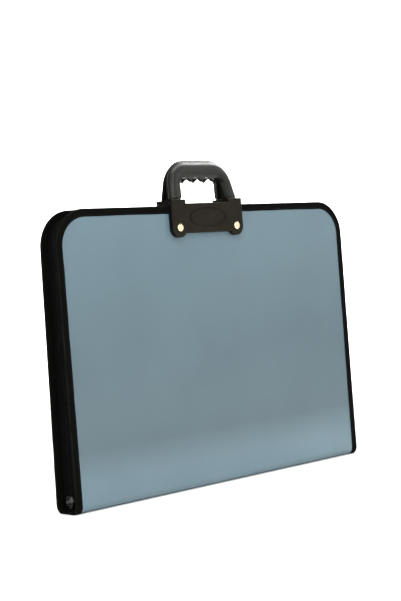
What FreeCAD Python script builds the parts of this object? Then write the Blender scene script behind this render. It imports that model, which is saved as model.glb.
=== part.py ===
import FreeCAD, Part
import math
import os
import Sketcher
from FreeCAD import Placement, Rotation, Vector

# A zipped portfolio case for drawings, in millimetres.
# +X runs along the width, the front cover faces -Y, +Z is up, and the origin lies on the
# ground under the middle of the base. One sheet is folded into two covers and a base strip.
# Each cover carries its binding, its half of the gusset and zipper, and one carrying handle.
# The rear cover is the front one turned half a turn about Z, apart from its handle's place.

DIMENSIONS = [
    ("case_width", 500.0, "over the side bindings"),
    ("case_height", 350.0, "ground to the top binding"),
    ("bottom_depth", 36.0, "outside of the sheet at the crease"),
    ("cover_lean", 0.67, "inward lean of each closed cover, degrees"),
    ("sheet", 1.2, "thickness of the folded sheet"),
    ("bend_radius", 9.6, "outer radius of the folded base"),
    ("crease_height", 10.2, "height of both fold lines"),
    ("crease_gap", 0.2, "half of the thinned strip at a fold line"),
    ("corner_radius", 44.0, "outer radius of the upper corners"),
    ("band", 9.5, "width of the binding on the outer face"),
    ("flush_leg", 0.5, "binding let into the underside of the base"),
    ("inner_band", 8.3, "width of the binding on the inner face"),
    ("edge_wall", 1.3, "binding beyond the sheet's edge"),
    ("leg", 1.0, "thickness of each folded binding leg"),
    ("flange", 0.6, "gusset cloth sewn under the binding"),
    ("gusset_inset", 8.5, "gusset wall inside the outer edge"),
    ("gusset_foot", 0.3, "lower end of the gusset above the fold line"),
    ("gusset_wall", 1.2, "thickness of the gusset wall"),
    ("gusset_depth", 6.5, "gusset wall from the sheet's inner face"),
    ("tape_inset", 7.8, "zipper tape inside the outer edge"),
    ("tape_thickness", 0.5, ""),
    ("tape_reach", 11.0, "tape's sewn edge from the middle plane"),
    ("chain_reach", 3.3, "tape's toothed edge from the middle plane"),
    ("chain_gap", 0.7, "teeth from the middle plane"),
    ("chain_thickness", 1.9, ""),
    ("zip_foot", 10.5, "lowest point of the tapes"),
    ("chain_foot", 10.6, "lowest tooth of the rear row"),
    ("front_chain_foot", 28.0, "lowest tooth of the front row"),
    ("web_top", 8.2, "top of the cloth below the zipper's end"),
    ("web_play", 0.7, "web inside the binding's inner leg"),
    ("web_radius", 5.2, "its lower corners"),
    ("clip_half", 2.4, "half of the end clip's width"),
    ("clip_drop", 2.8, "clip below the top of the web"),
    ("clip_rise", 0.4, "clip above the top of the web"),
    ("clip_skin", 1.1, "clip beyond each face of the web"),
    ("front_shift", 10.0, "front handle off the middle of its cover"),
    ("rear_shift", 2.0, "rear handle off the middle of its cover"),
    ("plate_half", 61.6, "half of the handle plate's width"),
    ("plate_low", 34.5, "plate's lower edge below the case top"),
    ("plate_rise", 2.5, "plate's upper edge above the case top"),
    ("plate_front", 6.5, "plate's face from the sheet's face"),
    ("lobe_radius", 12.2, "rounded ear around each rivet"),
    ("rivet_spacing", 99.0, ""),
    ("rivet_drop", 27.5, "rivets below the case top"),
    ("rivet_head", 4.75, "radius"),
    ("rivet_shank", 2.0, "radius"),
    ("rivet_tail", 3.6, "radius"),
    ("head_height", 1.8, ""),
    ("tail_height", 0.8, ""),
    ("dome_land", 0.1, "straight side below the domed head"),
    ("backing", 1.6, "thickness of the inner backing strip"),
    ("backing_half", 58.0, "half of its length"),
    ("backing_top", 18.5, "its upper edge below the case top"),
    ("backing_corner", 5.0, ""),
    ("ring_major", 31.5, "raised oval ring on the plate"),
    ("ring_minor", 11.8, ""),
    ("ring_width", 1.3, ""),
    ("ring_rise", 0.5, ""),
    ("ring_root", 0.2, "ring below the plate's face"),
    ("ring_drop", 15.5, "ring's middle below the case top"),
    ("collar_width", 24.5, "socket block at each end of the plate"),
    ("collar_rise", 7.5, "socket block above the case top"),
    ("collar_wall", 1.9, "socket's back wall"),
    ("ledge_gap", 0.2, "back wall above the top binding"),
    ("seat_gap", 0.1, "plate's seat below the binding's edge"),
    ("plate_round", 0.9, "edge rounding of the plate"),
    ("pin_out", 1.7, "grip pin from the sheet's face"),
    ("pin_rise", 3.6, "grip pin above the case top"),
    ("pin_radius", 1.25, ""),
    ("pin_play", 0.05, "radial running clearance"),
    ("pin_inset", 0.5, "pin ends inside the socket block"),
    ("socket_depth", 3.0, "socket wall from the pin axis"),
    ("foot_in", 41.0, "grip foot, inner side from the middle"),
    ("foot_out", 55.5, "grip foot, outer side from the middle"),
    ("foot_half", 1.6, "half of the foot's thickness"),
    ("foot_root", 1.0, "foot inside the grip"),
    ("knuckle", 2.5, "radius of the eye around the pin"),
    ("knuckle_play", 0.4, "eye to the socket's floor"),
    ("side_play", 0.3, "foot to socket cheek"),
    ("front_lean", 11.0, "front grip's inward lean at rest, degrees"),
    ("rear_lean", 3.0, "rear grip's"),
    ("grip_half", 56.0, "half of the grip's width below its crown"),
    ("grip_spread", 2.8, "how far each leg splays outward at its foot"),
    ("grip_height", 54.6, "top of the grip above its pin"),
    ("grip_foot", 5.4, "shoulders above the pin"),
    ("grip_corner", 34.0, "outer corner radius"),
    ("grip_rim", 2.5, "rim around the back"),
    ("grip_back", 4.5, "mid-plane to the back face"),
    ("grip_step", -2.0, "mid-plane to the rim's front"),
    ("grip_front", 4.0, "mid-plane to the front face"),
    ("front_round", 5.2, "pillow rounding of the front face"),
    ("inner_round", 1.6, "rounding of its finger opening"),
    ("back_round", 1.0, ""),
    ("rim_round", 0.8, ""),
    ("window_half", 38.0, "half of the finger opening"),
    ("window_spread", 2.4, "more of it at the feet"),
    ("window_top", 26.0, "tips between the finger hollows"),
    ("window_corner", 2.0, ""),
    ("hollow_depth", 5.0, "depth of each finger hollow"),
    ("tip_back", 0.5, "tips of the hollows reach behind the mid-plane"),
    ("relief_half", 37.0, "half of the bar's relieved back"),
    ("relief_gap", 1.6, "height of the relief above the hollows"),
    ("slider_foot", 9.0, "slider's lower end when closed"),
    ("slider_length", 10.8, ""),
    ("slider_half", 5.2, "half of its width"),
    ("slider_cavity", 1.3, "plates from the tape's middle"),
    ("slider_wall", 1.4, ""),
    ("slot_half", 0.6, "tape slot"),
    ("rail_from", 3.9, "side rails from the middle plane"),
    ("neck_half", 0.35, "blade between the two rows of teeth"),
    ("neck_length", 2.6, ""),
    ("bridge_out", 5.1, "pull bar from the tape's middle"),
    ("bridge_radius", 0.85, ""),
    ("bridge_low", 1.6, "from the slider's lower end"),
    ("bridge_high", 8.8, ""),
    ("bridge_post", 1.2, ""),
    ("eye_radius", 1.75, "pull tab's rolled eye"),
    ("eye_low", 3.4, ""),
    ("eye_high", 7.0, ""),
    ("eye_play", 0.1, ""),
    ("tab_length", 10.8, ""),
    ("tab_root", 3.4, "width at the eye"),
    ("tab_tip", 7.5, "width at the free end"),
    ("tab_thickness", 1.0, ""),
    ("tab_tilt", 22.0, "degrees above level"),
    ("tab_corner", 1.4, ""),
    ("tab_overlap", 0.4, "blade inside the eye"),
    ("overshoot", 1.0, "how far a cutter reaches past a face"),
]

doc = FreeCAD.newDocument("portfolio_case")
sheet = doc.addObject("Spreadsheet::Sheet", "dims")
for row, (alias, number, note) in enumerate(DIMENSIONS, start=1):
    sheet.set("A%d" % row, alias)
    sheet.set("B%d" % row, str(number))
    sheet.set("C%d" % row, note)
    sheet.setAlias("B%d" % row, alias)
doc.recompute()

HALF = "dims.case_width / 2"
TOP = "dims.case_height - dims.crease_height"      # case top in a cover's own frame
PINS_UP = TOP + " + dims.pin_rise"
RIVETS_UP = TOP + " - dims.rivet_drop"
TAPE_MID = HALF + " - dims.tape_inset - dims.tape_thickness / 2"
ENDS = (("left", -1), ("right", 1))

sub_parts = []


def value(expression):
    """Number that an expression over the sheet gives."""
    return float(sheet.evalExpression(expression.replace("dims.", "")))


def offset(base, *steps):
    """Expression of a size made smaller by each step in turn."""
    return " - ".join(["(%s)" % base] + ["(%s)" % step for step in steps])


def keep(part, label):
    """Give a finished sub-part its name."""
    part.Label = label
    sub_parts.append(part)
    return part


# ---------------------------------------------------------------- placements

def case_frame(side):
    """Upright frame on the ground: the rear one is turned half a turn."""
    turn = 0 if side == "front" else 180
    return Placement(Vector(), Rotation(Vector(0, 0, 1), turn))


def cover_frame(side):
    """Frame on a cover's outer face: Z up the face from the fold line, -Y outward."""
    fold = Vector(0, -value("dims.bottom_depth / 2"), value("dims.crease_height"))
    lean = Rotation(Vector(1, 0, 0), -value("dims.cover_lean"))
    return case_frame(side) * Placement(fold, lean)


def grip_frame(side):
    """Frame on a grip's pin, leaning inward as the grip does at rest."""
    pin = Vector(-value("dims.%s_shift" % side), -value("dims.pin_out"), value(PINS_UP))
    lean = Rotation(Vector(1, 0, 0), -value("dims.%s_lean" % side))
    return cover_frame(side) * Placement(pin, lean)


# ---------------------------------------------------------------- sketches

def new_body(name, frame=None):
    body = doc.addObject("PartDesign::Body", name)
    body.AllowCompound = True
    if frame is not None:
        body.Placement = frame
    return body


def new_sketch(body, name, plane, height="0"):
    """Sketch on one of the body's own planes, lifted by height along its normal."""
    sketch = body.newObject("Sketcher::SketchObject", name)
    role = [item for item in body.Origin.OriginFeatures if item.Role == plane][0]
    sketch.AttachmentSupport = [(role, "")]
    sketch.MapMode = "FlatFace"
    if height != "0":
        sketch.setExpression(".AttachmentOffset.Base.z", height)
    return sketch


def measure(sketch, kind, references, expression):
    """Dimension constraint that follows an expression; a zero size is left to the axes."""
    index = sketch.addConstraint(Sketcher.Constraint(kind, *references, value(expression)))
    sketch.setExpression("Constraints[%d]" % index, expression)


def pin_point(sketch, geometry, point, across, up):
    """Hold a point at (across, up) from the sketch's origin."""
    for kind, axis, expression in (("DistanceX", -2, across), ("DistanceY", -1, up)):
        size = value(expression)
        if abs(size) < 1e-9:
            sketch.addConstraint(Sketcher.Constraint("PointOnObject", geometry, point, axis))
        elif size > 0:
            measure(sketch, kind, (-1, 1, geometry, point), expression)
        else:
            measure(sketch, kind, (geometry, point, -1, 1), "-(%s)" % expression)


def line(sketch, x1, y1, x2, y2):
    return sketch.addGeometry(Part.LineSegment(Vector(x1, y1, 0), Vector(x2, y2, 0)), False)


def arc(sketch, x, y, radius, start, end):
    """Arc about (x, y) between two angles in degrees."""
    circle = Part.Circle(Vector(x, y, 0), Vector(0, 0, 1), radius)
    turn = Part.ArcOfCircle(circle, math.radians(start), math.radians(end))
    return sketch.addGeometry(turn, False)


def draw_arch(sketch, half, foot, crown, radius, spread=None):
    """Sides and rounded crown of an arch; returns its left and right lines.

    The crown lies above the feet, or below them for the folded base. The sides are upright
    unless a spread says how far each foot stands outside them.
    """
    w, low, top, r = value(half), value(foot), value(crown), value(radius)
    bend = top - r if top > low else top + r
    left = line(sketch, -w, low, -w, bend)
    if top > low:
        turn_left = arc(sketch, -w + r, bend, r, 90, 180)
        turn_right = arc(sketch, w - r, bend, r, 0, 90)
        side_left, crown_left, side_right, crown_right = 2, 1, 1, 2
    else:
        turn_left = arc(sketch, -w + r, bend, r, 180, 270)
        turn_right = arc(sketch, w - r, bend, r, 270, 360)
        side_left, crown_left, side_right, crown_right = 1, 2, 2, 1
    across = line(sketch, -w + r, top, w - r, top)
    right = line(sketch, w, bend, w, low)
    sketch.addConstraint([
        Sketcher.Constraint("Horizontal", across),
        Sketcher.Constraint("Tangent", left, 2, turn_left, side_left),
        Sketcher.Constraint("Tangent", turn_left, crown_left, across, 1),
        Sketcher.Constraint("Tangent", across, 2, turn_right, crown_right),
        Sketcher.Constraint("Tangent", turn_right, side_right, right, 1),
        Sketcher.Constraint("Equal", turn_left, turn_right),
        Sketcher.Constraint("Symmetric", left, 1, right, 2, -2),
    ])
    measure(sketch, "Radius", (turn_left,), radius)
    if spread is None:
        sketch.addConstraint([Sketcher.Constraint("Vertical", side) for side in (left, right)])
        measure(sketch, "DistanceX", (left, 1, right, 2), "2 * (%s)" % half)
    else:
        measure(sketch, "DistanceX", (across, 1, -1, 1), "%s - (%s)" % (half, radius))
        measure(sketch, "DistanceX", (-1, 1, across, 2), "%s - (%s)" % (half, radius))
        measure(sketch, "DistanceX", (left, 1, right, 2), "2 * (%s + %s)" % (half, spread))
    measure(sketch, "DistanceY", (-1, 1, left, 1), foot)
    if abs(top) < 1e-9:
        sketch.addConstraint(Sketcher.Constraint("PointOnObject", across, 1, -1))
    else:
        measure(sketch, "DistanceY", (-1, 1, across, 1), crown)
    return left, right


def join_feet(sketch, first, first_point, second, second_point):
    """Straight edge between two feet."""
    a = sketch.getPoint(first, first_point)
    b = sketch.getPoint(second, second_point)
    edge = line(sketch, a.x, a.y, b.x, b.y)
    sketch.addConstraint([
        Sketcher.Constraint("Coincident", edge, 1, first, first_point),
        Sketcher.Constraint("Coincident", edge, 2, second, second_point),
    ])


def draw_solid_arch(sketch, half, foot, crown, radius):
    left, right = draw_arch(sketch, half, foot, crown, radius)
    join_feet(sketch, left, 1, right, 2)


def draw_band(sketch, outer, inner, foot):
    """Band between two arches; outer and inner are (half width, crown, radius[, spread])."""
    out_left, out_right = draw_arch(sketch, outer[0], foot, *outer[1:])
    in_left, in_right = draw_arch(sketch, inner[0], foot, *inner[1:])
    join_feet(sketch, out_left, 1, in_left, 1)
    join_feet(sketch, out_right, 2, in_right, 2)


def draw_rectangle(sketch, x1, y1, x2, y2):
    """Upright rectangle between two opposite corners."""
    a, b, c, d = value(x1), value(y1), value(x2), value(y2)
    edges = [line(sketch, a, b, c, b), line(sketch, c, b, c, d),
             line(sketch, c, d, a, d), line(sketch, a, d, a, b)]
    for edge, following in zip(edges, edges[1:] + edges[:1]):
        sketch.addConstraint(Sketcher.Constraint("Coincident", edge, 2, following, 1))
    for edge, kind in zip(edges, ("Horizontal", "Vertical", "Horizontal", "Vertical")):
        sketch.addConstraint(Sketcher.Constraint(kind, edge))
    pin_point(sketch, edges[0], 1, x1, y1)
    pin_point(sketch, edges[2], 1, x2, y2)


def draw_polygon(sketch, corners):
    """Closed outline through corners given as pairs of expressions."""
    places = [(value(x), value(y)) for x, y in corners]
    edges = [line(sketch, *a, *b) for a, b in zip(places, places[1:] + places[:1])]
    for edge, following in zip(edges, edges[1:] + edges[:1]):
        sketch.addConstraint(Sketcher.Constraint("Coincident", edge, 2, following, 1))
    for edge, (x, y) in zip(edges, corners):
        pin_point(sketch, edge, 1, x, y)


def draw_circle(sketch, x, y, radius):
    circle = Part.Circle(Vector(value(x), value(y), 0), Vector(0, 0, 1), value(radius))
    index = sketch.addGeometry(circle, False)
    pin_point(sketch, index, 3, x, y)
    measure(sketch, "Radius", (index,), radius)


def draw_ellipse(sketch, x, y, major, minor):
    cx, cy, a, b = value(x), value(y), value(major), value(minor)
    ellipse = Part.Ellipse(Vector(cx + a, cy, 0), Vector(cx, cy + b, 0), Vector(cx, cy, 0))
    index = sketch.addGeometry(ellipse, False)
    sketch.exposeInternalGeometry(index)
    pin_point(sketch, index, 3, x, y)
    sketch.addConstraint(Sketcher.Constraint("Horizontal", index + 1))
    measure(sketch, "Distance", (index + 1,), "2 * (%s)" % major)
    measure(sketch, "Distance", (index + 2,), "2 * (%s)" % minor)


# ---------------------------------------------------------------- features

def pad(body, sketch, length, both_ways=False):
    feature = body.newObject("PartDesign::Pad", sketch.Name + "_pad")
    feature.Profile = sketch
    if both_ways:
        feature.Midplane = True
    feature.setExpression("Length", length)
    body.Tip = feature
    return feature


def pocket(body, sketch, length):
    """Cut along the sketch's normal; the volume must drop."""
    doc.recompute()
    before = body.Tip.Shape.Volume
    feature = body.newObject("PartDesign::Pocket", sketch.Name + "_pocket")
    feature.Profile = sketch
    feature.Reversed = True
    feature.setExpression("Length", length)
    body.Tip = feature
    doc.recompute()
    if feature.Shape.Volume >= before - 1e-6:
        raise RuntimeError("%s cuts nothing" % feature.Name)
    return feature


def round_edges(body, name, radius, chosen):
    """Fillet every edge for which chosen(edge) holds."""
    doc.recompute()
    base = body.Tip
    names = ["Edge%d" % (i + 1) for i, edge in enumerate(base.Shape.Edges) if chosen(edge)]
    if not names:
        raise RuntimeError("%s finds no edges" % name)
    feature = body.newObject("PartDesign::Fillet", name)
    feature.Base = (base, names)
    feature.setExpression("Radius", radius)
    body.Tip = feature
    doc.recompute()
    return feature


def front_pad(body, name, height, length, draw, *sizes):
    """Pad of a face-on outline: height and length run outward from the cover's face."""
    sketch = new_sketch(body, name, "XZ_Plane", height)
    draw(sketch, *sizes)
    return pad(body, sketch, length)


def mirrored_pair(body, label):
    """The body and its mirror image across the middle of the width, as one sub-part."""
    other = doc.addObject("Part::Mirroring", body.Name + "_right")
    other.Source = body
    other.Normal = Vector(1, 0, 0)
    pair = doc.addObject("Part::Compound", body.Name + "_pair")
    pair.Links = [body, other]
    return keep(pair, label)


def inset_arch(half, crown, radius, inset):
    """(half width, crown, radius) of an arch drawn in by inset."""
    return offset(half, inset), offset(crown, inset), offset(radius, inset)


def case_arch(inset, top=TOP):
    """Outline of the case's edge, drawn in by inset."""
    return inset_arch(HALF, top, "dims.corner_radius", inset)


# ---------------------------------------------------------------- base

def base_profile(inset):
    """Folded base outline in the depth-height plane, drawn in by inset."""
    return ("dims.bottom_depth / 2 - (%s)" % inset, inset, "dims.bend_radius - (%s)" % inset)


def make_base():
    foot = "dims.crease_height - dims.crease_gap"
    body = new_body("base_panel_body")
    sketch = new_sketch(body, "base_fold", "YZ_Plane")
    draw_band(sketch, base_profile("0"), base_profile("dims.sheet"), foot)
    pad(body, sketch, "dims.case_width - 2 * dims.band", both_ways=True)
    rebate = new_sketch(body, "base_rebate", "YZ_Plane")
    draw_band(rebate, base_profile("dims.flush_leg"), base_profile("dims.sheet"), foot)
    pad(body, rebate, "dims.case_width - 2 * dims.edge_wall", both_ways=True)
    keep(body, "base_panel")
    make_end_bindings(foot)
    make_end_webs()
    make_end_clips()


def make_end_bindings(foot):
    """Binding round both ends of the base; its outer leg lies flush in the sheet."""
    body = new_body("base_binding_body")
    inner = base_profile("dims.sheet + dims.leg")
    layers = [("wall", "0", "dims.edge_wall", base_profile("0"), inner),
              ("outer", "dims.edge_wall", "dims.band", base_profile("0"), base_profile("dims.flush_leg")),
              ("inner", "dims.edge_wall", "dims.inner_band", base_profile("dims.sheet"), inner)]
    for name, near, far, outside, inside in layers:
        sketch = new_sketch(body, "base_binding_" + name, "YZ_Plane", "%s - %s" % (near, HALF))
        draw_band(sketch, outside, inside, foot)
        pad(body, sketch, "%s - %s" % (far, near))
    mirrored_pair(body, "base_end_bindings")


def make_end_webs():
    """Cloth that closes each end of the case below the zipper."""
    body = new_body("web_body")
    web = new_sketch(body, "web_face", "YZ_Plane", "-(%s)" % offset(TAPE_MID, "dims.gusset_wall / -2"))
    half, crown, _ = base_profile("dims.sheet + dims.leg + dims.web_play")
    draw_solid_arch(web, half, "dims.web_top", crown, "dims.web_radius")
    pad(body, web, "dims.gusset_wall")
    mirrored_pair(body, "gusset_end_webs")


def make_end_clips():
    """Folded metal clip over the cloth at each end of the zipper."""
    body = new_body("clip_body")
    depth = "dims.gusset_wall + 2 * dims.clip_skin"
    outline = new_sketch(body, "clip_block", "YZ_Plane", "-(%s + (%s) / 2)" % (TAPE_MID, depth))
    draw_rectangle(outline, "-dims.clip_half", "dims.web_top - dims.clip_drop",
                   "dims.clip_half", "dims.web_top + dims.clip_rise")
    pad(body, outline, depth)
    slot = new_sketch(body, "clip_slot", "YZ_Plane", "-(%s + dims.gusset_wall / 2)" % TAPE_MID)
    draw_rectangle(slot, "-2 * dims.clip_half", "dims.web_top - 2 * dims.clip_drop",
                   "2 * dims.clip_half", "dims.web_top")
    pocket(body, slot, "dims.gusset_wall")
    mirrored_pair(body, "zipper_end_clips")


# ---------------------------------------------------------------- covers

def make_panel(side, frame):
    body = new_body(side + "_panel_body", frame)
    half, crown, radius = case_arch("dims.edge_wall")
    front_pad(body, side + "_sheet", "-dims.sheet", "dims.sheet",
              draw_solid_arch, half, "dims.crease_gap", crown, radius)
    holes = new_sketch(body, side + "_sheet_holes", "XZ_Plane", "-2 * dims.sheet")
    draw_rivet_circles(holes, side, "dims.rivet_shank + dims.pin_play")
    pocket(body, holes, "3 * dims.sheet")
    keep(body, side + "_panel")


def make_binding(side, frame):
    """Cloth tape folded over the sheet's edge: outer leg, edge and inner leg."""
    body = new_body(side + "_binding_body", frame)
    foot = "dims.crease_gap"
    layers = [("outer", "0", "dims.leg", "dims.band"),
              ("edge", "-(dims.sheet + dims.flange)", "dims.sheet + dims.flange", "dims.edge_wall"),
              ("inner", "-(dims.sheet + dims.flange + dims.leg)", "dims.leg", "dims.inner_band")]
    for name, height, length, width in layers:
        front_pad(body, "%s_binding_%s" % (side, name), height, length,
                  draw_band, case_arch("0"), case_arch(width), foot)
    keep(body, side + "_binding")


def make_gusset(side, frame):
    """Cloth wall between cover and zipper, with the flange sewn under the binding."""
    body = new_body(side + "_gusset_body", frame)
    inner = case_arch("dims.gusset_inset + dims.gusset_wall")
    front_pad(body, side + "_gusset_flange", "-(dims.sheet + dims.flange)", "dims.flange",
              draw_band, case_arch("dims.edge_wall"), inner, "dims.gusset_foot")
    front_pad(body, side + "_gusset_wall", "-(dims.sheet + dims.gusset_depth)",
              "dims.gusset_depth - dims.flange",
              draw_band, case_arch("dims.gusset_inset"), inner, "dims.gusset_foot")
    keep(body, side + "_gusset")


def make_zipper_half(side):
    frame = case_frame(side)
    body = new_body(side + "_tape_body", frame)
    tape_in = "dims.tape_inset + dims.tape_thickness"
    front_pad(body, side + "_tape", "dims.chain_reach", "dims.tape_reach - dims.chain_reach",
              draw_band, case_arch("dims.tape_inset", "dims.case_height"),
              case_arch(tape_in, "dims.case_height"), "dims.zip_foot")
    keep(body, side + "_zipper_tape")

    body = new_body(side + "_chain_body", frame)
    proud = "(dims.chain_thickness - dims.tape_thickness) / 2"
    front_pad(body, side + "_chain", "dims.chain_gap", "dims.chain_reach - dims.chain_gap",
              draw_band, case_arch("dims.tape_inset - " + proud, "dims.case_height"),
              case_arch("%s + %s" % (tape_in, proud), "dims.case_height"), "dims.chain_foot")
    if side == "front":
        # The front row starts above the closed slider, which swings up with the rear cover.
        gap = new_sketch(body, "front_chain_gap", "XZ_Plane", "0")
        draw_rectangle(gap, "-" + HALF, "dims.zip_foot / 2",
                       "-%s + 4 * dims.tape_inset" % HALF, "dims.front_chain_foot")
        pocket(body, gap, "2 * dims.chain_reach")
    keep(body, side + "_zipper_teeth")


# ---------------------------------------------------------------- handles

def handle_span(side, sign, near, far):
    """X range between two distances from the handle's middle, in rising order."""
    ends = ["%s * (%s) - dims.%s_shift" % (sign, reach, side) for reach in (near, far)]
    return ends if sign == 1 else ends[::-1]


def draw_rivet_circles(sketch, side, radius):
    for _, sign in ENDS:
        across = "%s * dims.rivet_spacing / 2 - dims.%s_shift" % (sign, side)
        draw_circle(sketch, across, RIVETS_UP, radius)


def draw_handle_blocks(sketch, side, near, far, low, high):
    """The same rectangle at both ends of the handle."""
    for _, sign in ENDS:
        left, right = handle_span(side, sign, near, far)
        draw_rectangle(sketch, left, low, right, high)


def on_plane(edge, normal, distance):
    """True where both ends and the middle of an edge lie on a plane."""
    middle = edge.valueAt((edge.FirstParameter + edge.LastParameter) / 2)
    points = [vertex.Point for vertex in edge.Vertexes] + [middle]
    return all(abs(point.dot(normal) - distance) < 1e-4 for point in points)


def along(edge, axis):
    """True for a straight edge parallel to an axis."""
    return isinstance(edge.Curve, Part.Line) and abs(edge.Curve.Direction.dot(axis)) > 0.999


def make_plate(side, frame):
    """Moulded plate riveted to the cover, with a socket for the grip at each end."""
    body = new_body(side + "_plate_body", frame)
    left, right = handle_span(side, 1, "-dims.plate_half", "dims.plate_half")
    low, seat = TOP + " - dims.plate_low", TOP + " - dims.band - dims.seat_gap"
    front_pad(body, side + "_plate_face", "dims.leg", "dims.plate_front - dims.leg",
              draw_rectangle, left, RIVETS_UP, right, TOP + " + dims.plate_rise")
    front_pad(body, side + "_plate_seat", "0", "dims.leg", draw_rectangle, left, RIVETS_UP, right, seat)
    left, right = handle_span(side, 1, "-dims.rivet_spacing / 2", "dims.rivet_spacing / 2")
    front_pad(body, side + "_plate_foot", "0", "dims.plate_front",
              draw_rectangle, left, low, right, RIVETS_UP)
    front_pad(body, side + "_plate_ears", "0", "dims.plate_front",
              draw_rivet_circles, side, "dims.lobe_radius")
    inner, outer = "dims.plate_half - dims.collar_width", "dims.plate_half"
    back = "dims.pin_out - dims.socket_depth - dims.collar_wall"
    front_pad(body, side + "_collars", back, "dims.plate_front - (%s)" % back,
              draw_handle_blocks, side, inner, outer, TOP + " + dims.ledge_gap", TOP + " + dims.collar_rise")
    face = value("dims.plate_front")
    round_edges(body, side + "_plate_round", "dims.plate_round",
                lambda edge: on_plane(edge, Vector(0, -1, 0), face))
    cut_sockets(body, side, inner, outer)
    rivet_holes = new_sketch(body, side + "_plate_holes", "XZ_Plane", "-dims.overshoot")
    draw_rivet_circles(rivet_holes, side, "dims.rivet_shank + dims.pin_play")
    pocket(body, rivet_holes, "dims.plate_front + 2 * dims.overshoot")
    add_ring(body, side)
    keep(body, side + "_handle_plate")


def cut_sockets(body, side, inner, outer):
    """Open the sockets at the top and bore them for the grip pins."""
    sockets = new_sketch(body, side + "_sockets", "XZ_Plane", "dims.pin_out - dims.socket_depth")
    draw_handle_blocks(sockets, side, "dims.foot_in - dims.side_play", "dims.foot_out + dims.side_play",
                       PINS_UP + " - dims.knuckle - dims.knuckle_play",
                       TOP + " + dims.collar_rise + dims.overshoot")
    pocket(body, sockets, "2 * dims.socket_depth")
    for name, sign in ENDS:
        start = handle_span(side, sign, inner, outer)[0]
        holes = new_sketch(body, "%s_pin_hole_%s" % (side, name), "YZ_Plane", start)
        draw_circle(holes, "-dims.pin_out", PINS_UP, "dims.pin_radius")
        pocket(body, holes, "dims.collar_width")


def add_ring(body, side):
    """Plain raised oval ring in the middle of the plate."""
    ring = new_sketch(body, side + "_ring", "XZ_Plane", "dims.plate_front - dims.ring_root")
    across, middle = "-dims.%s_shift" % side, TOP + " - dims.ring_drop"
    draw_ellipse(ring, across, middle, "dims.ring_major", "dims.ring_minor")
    draw_ellipse(ring, across, middle,
                 "dims.ring_major - dims.ring_width", "dims.ring_minor - dims.ring_width")
    pad(body, ring, "dims.ring_rise + dims.ring_root")


def make_backing(side, frame):
    """Strip inside the cover that spreads the pull of the rivets."""
    body = new_body(side + "_backing_body", frame)
    left = "-(dims.backing_half + dims.%s_shift)" % side
    right = "dims.backing_half - dims.%s_shift" % side
    front_pad(body, side + "_backing_strip", "-(dims.sheet + dims.backing)", "dims.backing",
              draw_rectangle, left, TOP + " - dims.plate_low", right, TOP + " - dims.backing_top")
    round_edges(body, side + "_backing_round", "dims.backing_corner",
                lambda edge: along(edge, Vector(0, 1, 0)))
    holes = new_sketch(body, side + "_backing_holes", "XZ_Plane",
                       "-(dims.sheet + dims.backing + dims.overshoot)")
    draw_rivet_circles(holes, side, "dims.rivet_shank + dims.pin_play")
    pocket(body, holes, "dims.backing + 2 * dims.overshoot")
    keep(body, side + "_handle_backing")


def make_rivets(side, frame):
    """Two domed rivets through plate, cover and backing strip."""
    body = new_body(side + "_rivet_body", frame)
    inside = "dims.sheet + dims.backing"
    front_pad(body, side + "_shank", "-(%s)" % inside, "%s + dims.plate_front" % inside,
              draw_rivet_circles, side, "dims.rivet_shank")
    front_pad(body, side + "_tail", "-(%s + dims.tail_height)" % inside, "dims.tail_height",
              draw_rivet_circles, side, "dims.rivet_tail")
    front_pad(body, side + "_head", "dims.plate_front", "dims.head_height",
              draw_rivet_circles, side, "dims.rivet_head")
    crown = value("dims.plate_front + dims.head_height")
    round_edges(body, side + "_dome", "dims.head_height - dims.dome_land",
                lambda edge: on_plane(edge, Vector(0, -1, 0), crown))
    keep(body, side + "_rivets")


def make_pins(side, frame):
    """Hinge pin of each grip foot, ending just inside the socket's outer cheek."""
    body = new_body(side + "_pin_body", frame)
    for name, sign in ENDS:
        start = handle_span(side, sign, "dims.plate_half - dims.collar_width + dims.pin_inset",
                            "dims.plate_half - dims.pin_inset")[0]
        sketch = new_sketch(body, "%s_pin_%s" % (side, name), "YZ_Plane", start)
        draw_circle(sketch, "-dims.pin_out", PINS_UP, "dims.pin_radius")
        pad(body, sketch, "dims.collar_width - 2 * dims.pin_inset")
    keep(body, side + "_grip_pins")


def draw_hollows(sketch):
    """Four finger hollows: arcs standing on chords along the underside of the bar."""
    count = 4
    for number in range(count):
        x1 = "dims.window_half * %g" % (2 * number / count - 1)
        x2 = "dims.window_half * %g" % (2 * (number + 1) / count - 1)
        a, b, level, depth = value(x1), value(x2), value("dims.window_top"), value("dims.hollow_depth")
        chord = line(sketch, a, level, b, level)
        start, crest, end = Vector(b, level, 0), Vector((a + b) / 2, level + depth, 0), Vector(a, level, 0)
        bow = sketch.addGeometry(Part.Arc(start, crest, end), False)
        for chord_end, bow_end in ((2, 1), (1, 2)):
            sketch.addConstraint(Sketcher.Constraint("Coincident", chord, chord_end, bow, bow_end))
        pin_point(sketch, chord, 1, x1, "dims.window_top")
        pin_point(sketch, chord, 2, x2, "dims.window_top")
        chord_half = "dims.window_half / %d" % count
        measure(sketch, "Radius", (bow,),
                "(({0})^2 + dims.hollow_depth^2) / (2 * dims.hollow_depth)".format(chord_half))


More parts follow.
